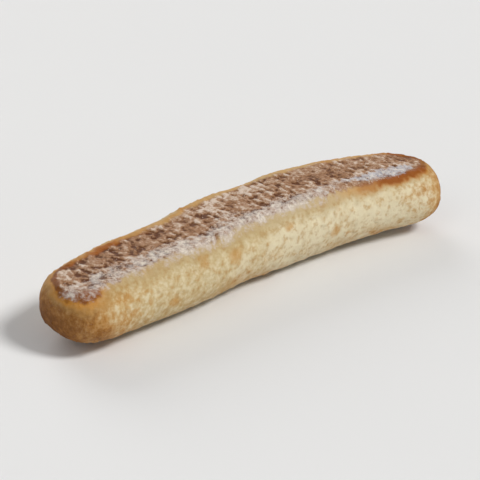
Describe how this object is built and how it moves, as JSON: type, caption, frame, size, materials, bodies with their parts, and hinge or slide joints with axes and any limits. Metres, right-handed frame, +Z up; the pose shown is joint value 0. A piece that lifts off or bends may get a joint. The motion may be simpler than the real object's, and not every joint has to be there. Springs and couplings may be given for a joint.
{
  "type": "demi baguette",
  "caption": "Small long loaf of bread with blunt round ends and a gentle bend, lying on its crown with the flat browned base on top.",
  "frame": {"origin": "middle of the loaf's box at the height of the table that it rests on", "axes": "+X along the loaf, +Z up out of the flat base, +Y towards the outer side of its bend"},
  "size_m": [0.25, 0.0552, 0.0388],
  "materials": {
    "crust": "baked bread crust: pale cream gold flanks and crown with toasted spots, reddish brown tray marked base with a dusting of flour",
    "flour": "loose grains of flour on the browned base"
  },
  "bodies": {
    "root": {"loaf": "crust"}
  },
  "joints": []
}
